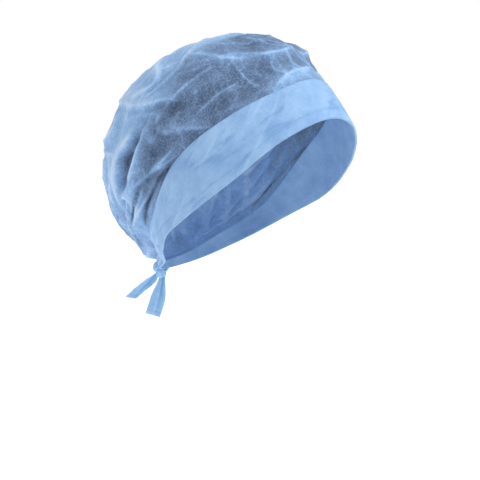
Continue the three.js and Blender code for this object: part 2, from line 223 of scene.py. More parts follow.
def crown_base(angle, rise):
    """The crown's smooth surface at matching arrays of angles and rises."""
    angle, rise = np.broadcast_arrays(np.asarray(angle, float), np.asarray(rise, float))
    points = [level_point(name, angle) for name in CROWN_LEVELS]
    below = 2 * points[0] - points[1]
    beyond = points[-1] * np.array([-1.0, -1.0, 1.0]) + np.array([0, 2 * CROWN_TOP[1], 0])
    path = np.stack([below, *points, np.broadcast_to(CROWN_TOP, points[0].shape), beyond])
    ends = np.cumsum(SPANS)
    rest = rise * ends[-1]
    span = np.minimum(np.searchsorted(ends, rest, side="left"), len(SPANS) - 1)
    starts = np.concatenate([[0.0], ends[:-1]])
    t = np.clip((rest - starts[span]) / np.array(SPANS)[span], 0, 1)[..., None]
    pick = lambda step: np.take_along_axis(path, (span + step)[None, ..., None], 0)[0]
    return catmull(pick(0), pick(1), pick(2), pick(3), t)


def band_height(angle):
    """From the band's lower edge to the seam."""
    return np.linalg.norm(level_point("seam", angle) - level_point("rim", angle), axis=-1)


def band_base(angle, rise):
    """The band's smooth surface, from its lower edge (rise 0) to the seam (rise 1)."""
    angle, rise = np.broadcast_arrays(np.asarray(angle, float), np.asarray(rise, float))
    rim, seam = level_point("rim", angle), level_point("seam", angle)
    point = rim + (seam - rim) * rise[..., None]
    level = point * np.array([1.0, 1.0, 0.0])
    level /= np.linalg.norm(level, axis=-1, keepdims=True)
    bow = 1.5 * np.minimum(1, band_height(angle) / FULL_BAND) * np.sin(np.pi * np.clip(rise, 0, 1))
    return point + level * bow[..., None]


def outward(surface, angle, rise):
    """Unit normals of a surface given as a function of angle and rise."""
    turn_step, rise_step = 0.5, 0.004
    high, low = np.minimum(rise + rise_step, 0.9999), np.maximum(rise - rise_step, 0)
    sideways = surface(angle + turn_step, rise) - surface(angle - turn_step, rise)
    up = surface(angle, high) - surface(angle, low)
    normal = np.cross(sideways, up)
    return normal / np.maximum(np.linalg.norm(normal, axis=-1, keepdims=True), 1e-9)


# ---- relief ----
def perlin(points, size, seed):
    """Smooth noise from -1 to 1 with bumps of about this size, at an array of points."""
    shift = Vector((seed * 17.3, seed * -9.1, seed * 5.7))
    flat = (points.reshape(-1, 3) / size).tolist()
    values = [noise.noise(Vector(place) + shift) for place in flat]
    return np.array(values).reshape(points.shape[:-1])


def creased(points, size, seed, sharp=0.10, warp=0.35):
    """A net of crisp crease lines of about this mesh size, 1 on a line and 0 away from it."""
    drift = np.stack([perlin(points, size * 1.3, seed + k) for k in (1, 2, 3)], -1)
    value = perlin(points + warp * size * drift, size, seed)
    return np.exp(-np.abs(value) / sharp)


def fold_line(fold, steps=30):
    """Points along a fold, on the crown's smooth surface."""
    t = np.linspace(0, 1, steps)
    near = lambda angle: angle + 360 * round((fold.start[0] - angle) / 360)
    a, b, c = fold.start, (near(fold.via[0]), fold.via[1]), (near(fold.end[0]), fold.end[1])
    angle, rise = ((1 - t) ** 2 * a[k] + 2 * t * (1 - t) * b[k] + t * t * c[k] for k in (0, 1))
    return crown_base((angle + 180) % 360 - 180, rise)


def nearest_on(line, points):
    """For each point, the way to it from the nearest place of a line, that place's share and its tangent."""
    step = line[1:] - line[:-1]
    gap = points[:, None] - line[None, :-1]
    t = np.clip((gap * step).sum(-1) / (step * step).sum(-1), 0, 1)
    gap -= t[..., None] * step
    which = (gap * gap).sum(-1).argmin(1)
    every = np.arange(len(points))
    tangent = step[which] / np.linalg.norm(step[which], axis=1, keepdims=True)
    return gap[every, which], (which + t[every, which]) / len(step), tangent


def fold_relief(points, normals, folds, crisp):
    """Height of all folds at each point, how near it is to a crest, which is painted paler, and how deep it
    lies in valleys, which are painted darker as shade.
    """
    drift = np.stack([perlin(points, 20, seed) for seed in (81, 83, 85)], -1)
    flat, facing = (points + 1.8 * drift).reshape(-1, 3), normals.reshape(-1, 3)
    fullness = 0.7 + 0.3 * smooth(0.5 + 1.6 * perlin(points, 16, 87)).ravel()
    height, crest, valley_shade = (np.zeros(len(flat)) for _ in range(3))
    for fold in folds:
        path = fold_line(fold)
        reach = 4 * fold.width
        close = np.flatnonzero(np.all((flat > path.min(0) - reach) & (flat < path.max(0) + reach), axis=1))
        gap, share, tangent = nearest_on(path, flat[close])
        side = np.sign((np.cross(facing[close], tangent) * gap).sum(1))
        far = np.linalg.norm(gap, axis=1)
        steep, gentle = 1 - 0.62 * abs(fold.lean), 1 + 0.5 * abs(fold.lean)
        slope = fold.width * np.where(side * fold.lean < 0, steep, gentle)
        taper = np.sin(np.pi * (0.12 + 0.76 * share)) ** 0.6
        soft = peak(far, 0, slope)
        edge = np.exp(-(np.sqrt(far**2 + 0.8) - 0.9) / (0.36 * slope))
        line = peak(far, 0, 0.6 + 0.07 * fold.width)
        trough = peak(far, 1.9 * slope, 0.8 * slope)
        height[close] += fold.height * taper * ((1 - crisp) * soft + crisp * edge - 0.22 * trough)
        if fold.height > 0:
            crest[close] = np.maximum(crest[close], taper * (0.75 * line + 0.2 * edge**2 + 0.05 * soft))
        else:
            valley_shade[close] = np.maximum(valley_shade[close], taper * soft)
    return [values.reshape(points.shape[:-1]) for values in (height, fullness * crest, valley_shade)]


def pleat_relief(angle, rise, points):
    """The small pleats that draw the crown together at the nape, with the puckers along the seam, and
    how near each point is to a pleat's crest."""
    pleat_step = 10
    wander = 3.0 * perlin(points, 34, 41)
    by_angle = ramp(np.abs(angle), 104, 22)
    by_rise = ramp(rise, 0, 0.07) * fade(rise, 0.07, 0.35 + 0.12 * perlin(points, 22, 43))
    gathered = by_angle * by_rise
    wave = np.cos(2 * np.pi * (angle + wander) / pleat_step)
    fine = np.cos(2 * np.pi * (angle * 2.3 + 2 * wander) / pleat_step)
    pleats = gathered * (0.6 * wave + 0.15 * fine)
    pucker = ramp(rise, 0, 0.02) * np.exp(-rise / 0.05) * (1 - by_angle)
    puckers = pucker * 0.8 * np.maximum(0, perlin(points * np.array([1, 1, 0.25]), 6, 47) + 0.1)
    return pleats + puckers, gathered * np.clip(wave, 0, 1)


def middle_of(node):
    """The middle of a solid, in millimetres."""
    low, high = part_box(node)
    return np.array((low + high) / 2) / MM


def knot_rays(points):
    """Fine creases that run out from the knot, lower the farther from it they are."""
    away = points - middle_of("knot")
    far = np.linalg.norm(away, axis=-1, keepdims=True)
    drawn = 80 * away / far + 0.15 * away
    return fade(far[..., 0], 50, 75) * creased(drawn, 11, 53, sharp=0.16)


def crown_relief(angle, rise, crumpling):
    """The crown's points, how far each stands out from the smooth surface, and how much it is a crest: paler
    along crests, partly the doubled cloth and partly a painted highlight, and darker in valleys as painted
    shade.
    """
    base, normal = crown_base(angle, rise), outward(crown_base, angle, rise)
    body, body_crest, body_valley_shade = fold_relief(base, normal, MAIN_FOLDS, crisp=0.6)
    fine, fine_crest, fine_valley_shade = fold_relief(base, normal, FINE_CREASES, crisp=0.8)
    pleats, pleat_crest = pleat_relief(angle, rise, base)
    large = creased(base, 38, 3, sharp=0.08)
    hung = base * np.array([1, 1, 0.5])  # creases in it run more up and down than across
    middle, small = (creased(hung, size, seed, sharp=0.09) for size, seed in ((15, 11), (7, 23)))
    rays = knot_rays(base)
    sway = 1.6 * perlin(base, 42, 31) + 0.8 * perlin(base, 20, 37) + 0.3 * perlin(base, 9, 39)
    crumple = crumpling * (1.1 * large + 0.45 * middle + 0.12 * small - 0.3 + sway)
    over_knot = peak(np.abs(angle), 172, 16) * ramp(rise, 0, 0.02) * fade(rise, 0.03, 0.07)
    relief = ramp(rise, 0, 0.10) * (body + fine + crumple) + pleats
    relief = relief + 0.4 * ramp(rise, 0, 0.03) * rays + 1.8 * over_knot
    # Crests are paler partly because the cloth lies double and partly as a painted highlight.
    folded = [body_crest, 0.9 * fine_crest, 0.35 * pleat_crest, 0.3 * rays]
    crest = np.clip(np.maximum.reduce(folded) + 0.24 * large + 0.24 * middle + 0.18 * small, 0, 1)
    # Painted shade in the valleys.
    crest -= np.maximum(0.4 * body_valley_shade, 1.2 * fine_valley_shade)
    return base + normal * relief[..., None], relief, crest


def crown_fibre_cover_and_shade(angle, rise):
    """How closely the cloth's fibres hide the dark hollow, whose shade is painted into the crown's colour:
    drawn together behind the ears, along the seam and at the brow, paler towards the top, and with painted
    shade at the temples and under the low back near the nape."""
    side = np.abs(angle)
    back = smooth((side - 96 + 12 * ramp(rise, 0.25, 0.10)) / 34)
    # The last term paints shade under the low back near the nape.
    gathered = 0.70 + 0.26 * ramp(rise, 0.03, 0.30) - 0.30 * ramp(side, 134, 20) * fade(rise, 0.05, 0.08)
    upper = (ramp(rise, 0.36, 0.12) + 0.8 * ramp(rise, 0.74, 0.08)) * (1 - back)
    front = fade(np.abs(angle - 14), 34, 26) * fade(rise, 0.66, 0.16)
    brow_seam = 0.3 * np.exp(-rise / 0.07) * fade(side, 45, 30)
    brow_edge = 0.05 + 0.11 * ramp(angle, -34, 26)
    brow_tuck = 0.40 * ramp(brow_edge - rise, 0, 0.05) * fade(side, 30, 10)
    # Painted shade at the temples.
    temple_painted_shade = peak(side, 87, 13) * peak(rise, 0.2, 0.12)
    beside_band = ramp(side, 99, 8) * fade(rise, 0.05, 0.08)
    cover = gathered * back + 0.16 * upper + 0.26 * front + np.maximum(brow_seam, brow_tuck) - 0.25 * temple_painted_shade
    return np.clip(np.maximum(cover, 0.55 * beside_band), -0.3, 1)


def band_relief(angle, rise, base, hem):
    """How far the band's outer and inner faces stand out, and how much each place is a crest: painted
    highlight along wrinkle crests and gathers, painted shade in the fine creases, and darker along the stitch
    line.
    """
    height = band_height(angle)
    up = rise * height
    full = np.minimum(1, height / FULL_BAND)
    stitch = peak(up, hem, 0.7) * full
    hem_swell = 0.25 * fade(up, hem - 1.5, 1.5) * full
    way_round = np.radians(angle) * HEAD_HALF_WIDTH
    across, along = way_round * 0.8 - up * 0.6, way_round * 0.6 + up * 0.8
    diagonal = np.stack([across, 0.25 * along, np.zeros_like(up)], -1)
    wrinkle = creased(diagonal, 13, 61, sharp=0.12, warp=0.25) * smooth(perlin(base, 40, 63) * 2 + 0.6)
    lengthways = np.stack([0.3 * way_round - 0.25 * up, up, np.zeros_like(up)], -1)
    crinkle = creased(lengthways, 7, 64, sharp=0.10, warp=0.3) * smooth(perlin(base, 26, 66) * 2.6 + 0.2)
    puckers = np.maximum(0, perlin(base * np.array([1, 1, 0.3]), 5, 67)) * fade(up, hem, 4)
    wave = np.cos(2 * np.pi * rise * 2.5 + 2.5 * perlin(base, 40, 71))
    gathers = ramp(np.abs(angle), 100, 25) * 1.3 * np.sign(wave) * np.abs(wave) ** 0.7
    sway = 0.5 * perlin(base, 30, 73)
    inside = np.sin(np.pi * np.clip(rise, 0, 1)) ** 0.5
    outer = hem_swell - 0.3 * stitch + 0.35 * puckers * full
    outer = outer + inside * (0.8 * wrinkle - 0.7 * crinkle + sway + gathers * full)
    # Painted highlight on wrinkles and gathers, painted shade in the fine creases, darker along the stitches.
    crest = np.clip(0.7 * wrinkle + 0.4 * np.clip(gathers, 0, 1), 0, 1) - 0.25 * stitch - 0.7 * crinkle
    return outer, 0.4 * inside * sway, crest


# ---- meshes ----
def mesh_piece(name, points, faces, material, attributes=()):
    """A smooth-shaded object from points in millimetres."""
    mesh = bpy.data.meshes.new(name)
    mesh.from_pydata((np.asarray(points) * MM).tolist(), [], faces)
    mesh.validate()
    mesh.shade_smooth()
    for label, values in attributes:
        layer = mesh.attributes.new(label, "FLOAT", "POINT")
        layer.data.foreach_set("value", np.asarray(values, np.float32).ravel())
    mesh.materials.append(material)
    piece = bpy.data.objects.new(name, mesh)
    bpy.context.scene.collection.objects.link(piece)
    return piece


def ring_faces(rows, columns, start=0, flip=False):
    """Quads between rings of points, each ring closed on itself."""
    faces = []
    for row in range(rows - 1):
        for place in range(columns):
            after = (place + 1) % columns
            low, high = start + row * columns, start + (row + 1) * columns
            quad = (low + place, low + after, high + after, high + place)
            faces.append(quad[::-1] if flip else quad)
    return faces


# ---- materials ----
POLYPROPYLENE_IOR = 1.49


def linear(hex_colour):
    """An sRGB hex colour as linear red, green and blue."""
    channels = [int(hex_colour[k : k + 2], 16) / 255 for k in (0, 2, 4)]
    return tuple(c / 12.92 if c <= 0.04045 else ((c + 0.055) / 1.055) ** 2.4 for c in channels)


def add_node(tree, kind, inputs=None, stops=(), **settings):
    """Adds a node with its settings and links: an input is a value or another node's output. A colour
    ramp also has stops, as (place, colour)."""
    made = tree.nodes.new(kind)
    for name, value in settings.items():
        setattr(made, name, value)
    for name, value in (inputs or {}).items():
        socket = made.inputs[name]
        if isinstance(value, bpy.types.NodeSocket):
            tree.links.new(value, socket)
        elif socket.type == "RGBA" and len(value) == 3:
            socket.default_value = (*value, 1)
        else:
            socket.default_value = value
    for number, (place, colour) in enumerate(stops):
        elements = made.color_ramp.elements
        element = elements[number] if number < len(elements) else elements.new(place)
        element.position = place
        element.color = (*colour, 1)
    return made


def new_material(name):
    material = bpy.data.materials.new(name)
    material.use_nodes = True
    material.node_tree.nodes.clear()
    return material, material.node_tree


def finish_material(tree, shader):
    add_node(tree, "ShaderNodeOutputMaterial", {"Surface": shader})


def weighted(tree, parts):
    """The sum of several grey patterns, each times its weight."""
    total = 0.0
    for pattern, weight in parts:
        total = add_node(
            tree, "ShaderNodeMath", {0: pattern, 1: weight, 2: total}, operation="MULTIPLY_ADD"
        ).outputs[0]
    return total


def thread_lines(tree, pattern, width):
    """Thin bright lines along the middle grey of a pattern."""
    offset = add_node(tree, "ShaderNodeMath", {0: pattern, 1: 0.5}, operation="SUBTRACT").outputs[0]
    apart = add_node(tree, "ShaderNodeMath", {0: offset}, operation="ABSOLUTE").outputs[0]
    fall = {"Value": apart, "From Max": width, "To Min": 1.0, "To Max": 0.0}
    return add_node(tree, "ShaderNodeMapRange", fall).outputs["Result"]


def sheer_spunbond(settings):
    """Sheer spun-bonded polypropylene: continuous fibres laid at random, so that a single layer is a cloudy
    veil over the dark hollow, whose shade is painted into the colour with only a little real see-through;
    every fold, where layers double, is paler and denser, its crest partly a painted highlight, and the relief
    is painted in as well, raised cloth paler and sunk cloth darker."""
    material, tree = new_material("spunbond_polypropylene_sheer")
    place = add_node(tree, "ShaderNodeTexCoord").outputs["Object"]
    crest, cover, lift = (
        add_node(tree, "ShaderNodeAttribute", attribute_name=name).outputs["Fac"]
        for name in ("crest", "cover", "lift")
    )
    drift = add_node(tree, "ShaderNodeTexNoise", {"Vector": place, "Scale": 1 / (7 * MM), "Detail": 2.0})
    warp = {0: drift.outputs["Color"], 1: (5 * MM,) * 3, 2: place}
    bent = add_node(tree, "ShaderNodeVectorMath", warp, operation="MULTIPLY_ADD").outputs[0]
    # The real fibres, a fiftieth of a millimetre thick, are too fine to show. Clumps of them, a web of
    # longer ones and a few long strands are drawn as coarse as they need to show.
    fibre, web_size = settings.fibre_pitch, settings.web_pitch
    patterns = ((fibre, 2.0), (web_size, 1.0), (2.5 * web_size, 0.0), (20 * MM, 3.0))
    clumps, threads, long_threads, clouds = (
        add_node(
            tree,
            "ShaderNodeTexNoise",
            {"Vector": bent, "Scale": 1 / size, "Detail": detail, "Roughness": 0.6},
        ).outputs["Fac"]
        for size, detail in patterns
    )
    clear_clumps = {"Value": clumps, "From Min": 0.38, "From Max": 0.64}
    speck = add_node(tree, "ShaderNodeMapRange", clear_clumps).outputs["Result"]
    web = thread_lines(tree, threads, 0.05)
    strands = thread_lines(tree, long_threads, 0.018)
    clear_clouds = {"Value": clouds, "From Min": 0.35, "From Max": 0.65}
    mist = add_node(tree, "ShaderNodeMapRange", clear_clouds).outputs["Result"]
    calmer = {"Value": cover, "From Min": 0.1, "From Max": 0.7, "To Min": 1.0, "To Max": 0.3}
    calm = add_node(tree, "ShaderNodeMapRange", calmer).outputs["Result"]
    grain = add_node(tree, "ShaderNodeMath", {0: speck, 1: calm}, operation="MULTIPLY").outputs[0]
    # The first three carry painted light: painted shade where the hollow shows darkest, a painted highlight
    # along crests with painted shade in valleys, and the relief painted as light and shade.
    parts = ((cover, 0.72), (crest, 0.56), (lift, 0.28))
    parts += ((grain, 0.14), (web, 0.2), (strands, 0.18), (mist, 0.14))
    density_and_painted_light_span = {"Value": weighted(tree, parts), "From Min": -0.08, "From Max": 1.3}
    density_and_painted_light = add_node(tree, "ShaderNodeMapRange", density_and_painted_light_span).outputs["Result"]
    # From the painted shade of the hollow, through the single veil over it, to gathered and doubled cloth.
    stops = zip((0.05, 0.40, 0.68, 1.0), settings.cloth_colours())
    colour = add_node(tree, "ShaderNodeValToRGB", {"Fac": density_and_painted_light}, stops).outputs["Color"]
    height = {"Height": speck, "Strength": 0.3, "Distance": 0.3 * MM}
    normal = add_node(tree, "ShaderNodeBump", height).outputs["Normal"]
    through = add_node(tree, "ShaderNodeBsdfTranslucent", {"Color": colour, "Normal": normal}).outputs[0]
    soft = {"Base Color": colour, "Normal": normal, "Roughness": 0.85, "IOR": POLYPROPYLENE_IOR}
    soft |= {"Sheen Weight": 0.55, "Sheen Roughness": 0.35, "Sheen Tint": (*settings.fold_colour, 1)}
    cloth = add_node(tree, "ShaderNodeBsdfPrincipled", soft).outputs[0]
    lit = add_node(tree, "ShaderNodeMixShader", {"Fac": 0.12, 1: cloth, 2: through}).outputs[0]
    thin = {"Value": density_and_painted_light, "From Min": 0.1, "From Max": 0.7}
    thin |= {"To Min": settings.see_through, "To Max": 0.0}
    gaps = add_node(tree, "ShaderNodeMapRange", thin).outputs["Result"]
    blue_light = linear("B3DAFF")
    clear = add_node(tree, "ShaderNodeBsdfTransparent", {"Color": blue_light}).outputs[0]
    finish_material(tree, add_node(tree, "ShaderNodeMixShader", {"Fac": gaps, 1: lit, 2: clear}).outputs[0])
    return material


def folded_spunbond(name, dark, light, emboss):
    """Spun-bonded polypropylene folded double and pressed: an opaque, felt-like matt face with a faint
    cloudiness, shallow press creases painted in as highlight and shade, and the even dimples of the bonding
    roll."""
    material, tree = new_material(name)
    place = add_node(tree, "ShaderNodeTexCoord").outputs["Object"]
    crest = add_node(tree, "ShaderNodeAttribute", attribute_name="crest").outputs["Fac"]
    wide = {"Vector": place, "Scale": 1 / (14 * MM), "Detail": 4.0, "Roughness": 0.6}
    clouds = add_node(tree, "ShaderNodeTexNoise", wide).outputs["Fac"]
    # The fibres are too fine to show, and are drawn as clumps.
    fine = {"Vector": place, "Scale": 1 / (1.5 * MM), "Detail": 3.0, "Roughness": 0.7}
    fibres = add_node(tree, "ShaderNodeTexNoise", fine).outputs["Fac"]
    roll = {"Vector": place, "Scale": 1 / emboss, "Randomness": 0.35}
    dimples = add_node(tree, "ShaderNodeTexVoronoi", roll, feature="F1").outputs["Distance"]
    # Cloudiness and fibres are the cloth's own tone; the crest term is painted highlight and shade.
    mottle_and_painted_light = weighted(tree, ((clouds, 0.8), (fibres, 0.5), (crest, 0.5)))
    clear_mottle_and_light = {"Value": mottle_and_painted_light, "From Min": 0.42, "From Max": 0.9}
    tone = add_node(tree, "ShaderNodeMapRange", clear_mottle_and_light).outputs["Result"]
    stops = ((0.0, dark), (1.0, light))
    colour = add_node(tree, "ShaderNodeValToRGB", {"Fac": tone}, stops).outputs["Color"]
    relief = weighted(tree, ((dimples, 0.6), (fibres, 1.0)))
    height = {"Height": relief, "Strength": 0.2, "Distance": 0.2 * MM}
    normal = add_node(tree, "ShaderNodeBump", height).outputs["Normal"]
    soft = {"Base Color": colour, "Normal": normal, "Roughness": 0.8, "IOR": POLYPROPYLENE_IOR}
    soft |= {"Sheen Weight": 0.05, "Sheen Roughness": 0.5}
    finish_material(tree, add_node(tree, "ShaderNodeBsdfPrincipled", soft).outputs[0])
    return material


def light_table(colour, glow):
    """A white acrylic floor lit from beneath: plain and pale, with no shine and hardly a shadow."""
    material, tree = new_material("white_acrylic_lit")
    paint = {"Base Color": tuple(colour), "Roughness": 0.9}
    paint |= {"Emission Color": (1, 1, 1), "Emission Strength": glow}
    finish_material(tree, add_node(tree, "ShaderNodeBsdfPrincipled", paint).outputs[0])
    return material


def lit_wall():
    """A studio's white wall, evenly lit by lamps of its own: it fills the picture and has no tone."""
    material, tree = new_material("white_backdrop_lit")
    glow = add_node(tree, "ShaderNodeEmission", {"Color": (1, 1, 1), "Strength": 1.0})
    finish_material(tree, glow.outputs[0])
    return material


# ---- settings ----
class CapCrownSettings(PropertyGroup):
    front_step: FloatProperty(
        name="Front step", description="Degrees between columns before the ears", default=1.25
    )
    back_step: FloatProperty(
        name="Back step", description="Degrees between columns behind the ears", default=0.7
    )
    rows: IntProperty(name="Rows", description="Rings of points from the seam to the top", default=230)
    crumple: FloatProperty(
        name="Crumple", description="Height of the small crumples, as a share", default=1.0
    )
    cut_width: FloatProperty(name="Cut width", description="Of the oval cut", default=0.29, unit="LENGTH")
    cut_length: FloatProperty(name="Cut length", description="Of the oval cut", default=0.34, unit="LENGTH")
    fibre_pitch: FloatProperty(
        name="Fibre pitch", description="Distance between fibre clumps", default=1.3 * MM, unit="LENGTH"
    )
    web_pitch: FloatProperty(
        name="Web pitch", description="Mesh of the web of longer fibres", default=3.2 * MM, unit="LENGTH"
    )
    see_through: FloatProperty(
        name="See-through",
        description="Share of light let straight through where fibres are fewest",
        default=0.08,
    )
    # Painted shade: the dark hollow inside the cap, seen between the fibres.
    painted_hollow_shade_colour: FloatVectorProperty(
        name="Gap colour", description="Between the fibres", default=linear("2E3B4C"), subtype="COLOR"
    )
    # A single layer's own tone mixed with the painted shade of the dark hollow behind it.
    veil_and_hollow_shade_colour: FloatVectorProperty(
        name="Veil colour",
        description="A single layer over the dark hollow",
        default=linear("6E88AB"),
        subtype="COLOR",
    )
    gathered_colour: FloatVectorProperty(
        name="Gathered colour",
        description="Cloth drawn close together",
        default=linear("8BB2DE"),
        subtype="COLOR",
    )
    # Crests are paler partly because the cloth lies double there and partly as a painted highlight.
    fold_colour: FloatVectorProperty(
        name="Fold colour",
        description="Cloth lying double in a crest",
        default=linear("BCD4ED"),
        subtype="COLOR",
    )

    def cloth_colours(self):
        return [tuple(c) for c in (self.painted_hollow_shade_colour, self.veil_and_hollow_shade_colour, self.gathered_colour, self.fold_colour)]


class CapBandSettings(PropertyGroup):
    front_step: FloatProperty(
        name="Front step", description="Degrees between columns before the ears", default=1.0
    )
    back_step: FloatProperty(
        name="Back step", description="Degrees between columns behind the ears", default=0.6
    )
    rows: IntProperty(name="Rows", description="Rings of points over the band's width", default=40)
    wall: FloatProperty(
        name="Wall", description="Thickness of the folded band", default=1.2 * MM, unit="LENGTH"
    )
    hem: FloatProperty(name="Hem", description="Width of the stitched hem", default=9 * MM, unit="LENGTH")
    emboss: FloatProperty(
        name="Emboss", description="Pitch of the bonding dimples", default=1.2 * MM, unit="LENGTH"
    )
    # Between these two the band also carries painted light: a painted highlight on its wrinkle crests and
    # painted shade in its creases.
    dark_colour: FloatVectorProperty(
        name="Dark colour",
        description="The band where its cloth is thin",
        default=linear("749CCB"),
        subtype="COLOR",
    )
    light_colour: FloatVectorProperty(
        name="Light colour",
        description="The band where its cloth is dense",
        default=linear("95B9E0"),
        subtype="COLOR",
    )


class CapTieSettings(PropertyGroup):
    tape: FloatProperty(
        name="Tape", description="Thickness of the folded tie", default=0.9 * MM, unit="LENGTH"
    )
    hem: FloatProperty(name="Hem", description="From each end to its stitches", default=4 * MM, unit="LENGTH")
    emboss: FloatProperty(
        name="Emboss", description="Pitch of the bonding dimples", default=1.2 * MM, unit="LENGTH"
    )
    # Between these two the ties also carry painted light: a painted highlight along the crease, the edges and
    # the knot's pleats, and painted shade beside the crease near the knot.
    dark_colour: FloatVectorProperty(
        name="Dark colour", description="The ties in their creases", default=linear("6A9ACB"), subtype="COLOR"
    )
    light_colour: FloatVectorProperty(
        name="Light colour", description="The ties on their flats", default=linear("97BFE4"), subtype="COLOR"
    )


class CapStageSettings(PropertyGroup):
    azimuth: FloatProperty(
        name="Azimuth",
        description="The camera's turn from the brow",
        default=math.radians(-45),
        subtype="ANGLE",
    )
    elevation: FloatProperty(
        name="Elevation",
        description="The camera's height above level",
        default=math.radians(9),
        subtype="ANGLE",
    )
    distance: FloatProperty(
        name="Distance", description="From the camera to the cap", default=1.6, unit="LENGTH"
    )
    width: FloatProperty(
        name="View width", description="What the frame spans at the cap", default=0.3576, unit="LENGTH"
    )
    floor_drop: FloatProperty(
        name="Floor drop", description="From the ties' ends down to the floor", default=1.65, unit="LENGTH"
    )
    floor_reach: FloatProperty(
        name="Floor reach", description="From the middle of the floor to its sides", default=40, unit="LENGTH"
    )
    wall_reach: FloatProperty(
        name="Wall reach", description="From the cap to the backdrop on every side", default=8, unit="LENGTH"
    )
    floor_colour: FloatVectorProperty(
        name="Floor colour", description="The floor all round", default=linear("F0F0F0"), subtype="COLOR"
    )
    floor_glow: FloatProperty(name="Floor glow", description="Light from beneath the floor", default=0.72)
    sky: FloatProperty(name="Sky", description="Even light from all round", default=0.57)
    key: FloatProperty(name="Key", description="Soft light from before the brow, in watts", default=20)
    fill: FloatProperty(name="Fill", description="Soft light from behind the cap, in watts", default=4)


# ---- the pieces ----
class CAP_OT_crown(Operator):
    """Makes the gathered, crumpled crown of sheer cloth"""

    bl_idname = "cap.crown"
    bl_label = "Crown"

    def execute(self, context):
        settings = context.scene.cap_crown
        columns = side_columns(settings.front_step, settings.back_step)
        rises = np.linspace(0, 1, settings.rows + 1)[:-1]
        angle, rise = np.meshgrid(columns, rises)
        points, relief, crest = crown_relief(angle, rise, settings.crumple)
        cover = crown_fibre_cover_and_shade(angle, rise)
        # The cloth goes on behind the band in two short rings.
        below_seam = np.array([-4.0, -2.0])
        skirt = band_base(columns[None], 1 + below_seam[:, None] / band_height(columns)[None])
        rows, count = len(rises) + len(below_seam), len(columns)
        everything = np.concatenate([skirt.reshape(-1, 3), points.reshape(-1, 3), CROWN_TOP[None]])
        top = rows * count
        faces = ring_faces(rows, count)
        faces += [(top - count + k, top - count + (k + 1) % count, top) for k in range(count)]
        hidden = np.zeros(len(below_seam) * count)
        # The relief painted into the colour: raised cloth paler and sunk cloth darker, as painted light and
        # shade.
        lift = np.clip(relief / 4, -1, 1)
        attributes = (
            ("crest", np.concatenate([hidden, crest.ravel(), [0.2]])),
            ("cover", np.concatenate([hidden + 0.5, cover.ravel(), [0.0]])),
            ("lift", np.concatenate([hidden, lift.ravel(), [0.0]])),
        )
        piece = mesh_piece("crown_cloth", everything, faces, sheer_spunbond(settings), attributes)
        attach(piece, HEAD_BODY)
        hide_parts("crown")
        return {"FINISHED"}


class CAP_OT_headband(Operator):
    """Makes the folded band with its stitched hem"""

    bl_idname = "cap.headband"
    bl_label = "Headband"

    def execute(self, context):
        settings = context.scene.cap_band
        columns = side_columns(settings.front_step, settings.back_step)
        rises = np.linspace(0, 1, settings.rows + 1)
        angle, rise = np.meshgrid(columns, rises)
        base = band_base(angle, rise)
        normal = outward(band_base, angle, rise)
        out, into, crest = band_relief(angle, rise, base, settings.hem / MM)
        half = settings.wall / MM / 2
        outer = base + normal * (half + out)[..., None]
        inner = base + normal * (into - half)[..., None]
        rows, count = len(rises), len(columns)
        faces = ring_faces(rows, count) + ring_faces(rows, count, rows * count, flip=True)
        last, inner_first, inner_last = (rows - 1) * count, rows * count, (2 * rows - 1) * count
        for k in range(count):
            after = (k + 1) % count
            faces.append((after, k, inner_first + k, inner_first + after))
            faces.append((last + k, last + after, inner_last + after, inner_last + k))
        # The inner face gets a weaker copy of the painted highlight and shade.
        attributes = (("crest", np.concatenate([crest.ravel(), 0.3 * crest.ravel()])),)
        cloth = folded_spunbond(
            "spunbond_polypropylene_folded", settings.dark_colour, settings.light_colour, settings.emboss
        )
        points = np.concatenate([outer.reshape(-1, 3), inner.reshape(-1, 3)])
        piece = mesh_piece("headband_cloth", points, faces, cloth, attributes)
        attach(piece, HEAD_BODY)
        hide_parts("headband")
        return {"FINISHED"}


def tie_cloth(settings):
    """The knot's and the ends' one material, made when it is first asked for."""
    name = "spunbond_polypropylene_tie"
    made = bpy.data.materials.get(name)
    return made or folded_spunbond(name, settings.dark_colour, settings.light_colour, settings.emboss)


def ribbon(line, across, half_widths, half_wall, crease, across_steps=16):
    """A closed strip along a line of points: its rings of points, its faces and each ring's place across."""
    along = np.gradient(line, axis=0)
    along /= np.linalg.norm(along, axis=1, keepdims=True)
    sides = across - along * (along @ across)[:, None]
    sides /= np.linalg.norm(sides, axis=1, keepdims=True)
    faces_out = np.cross(sides, along)
    share = np.linspace(-1, 1, across_steps + 1)
    loop = np.concatenate([share, share[::-1]])
    layer = np.concatenate([np.ones(len(share)), -np.ones(len(share))])
    spread = line[:, None] + sides[:, None] * (half_widths[:, None] * loop[None])[..., None]
    lift = crease[:, None] * (0.5 - np.abs(loop))[None] + 0.5 * perlin(spread, 5, 91)
    edge = np.sqrt(np.clip(1 - loop**8, 0.15, 1))
    points = spread + faces_out[:, None] * (lift + half_wall * layer * edge)[..., None]
    rows, count = points.shape[:2]
    faces = ring_faces(rows, count)
    for start, flip in ((0, True), ((rows - 1) * count, False)):
        for k in range(across_steps):
            quad = (start + k, start + k + 1, start + count - 2 - k, start + count - 1 - k)
            faces.append(quad[::-1] if flip else quad)
    return points, faces, loop


KNOT_STEPS, KNOT_SIDES = 180, 28  # rings of points along the tie inside the knot, and points in a ring
KNOT_PLEATS = 5  # lengthwise pleats in the drawn-up tie
KNOT_TIE = (1.7, 2.7)  # half thickness and half width of the tie inside the knot
KNOT_ROOM = 2.2  # from the tie's middle line to the box that the knot fills
KNOT_ASIDE = np.array([-0.8, -0.3, 0.0])  # how far the windings lie off the solid's middle
KNOT_LOOSE = np.array([1.15, 1.15, 1.0])  # their size against the solid's


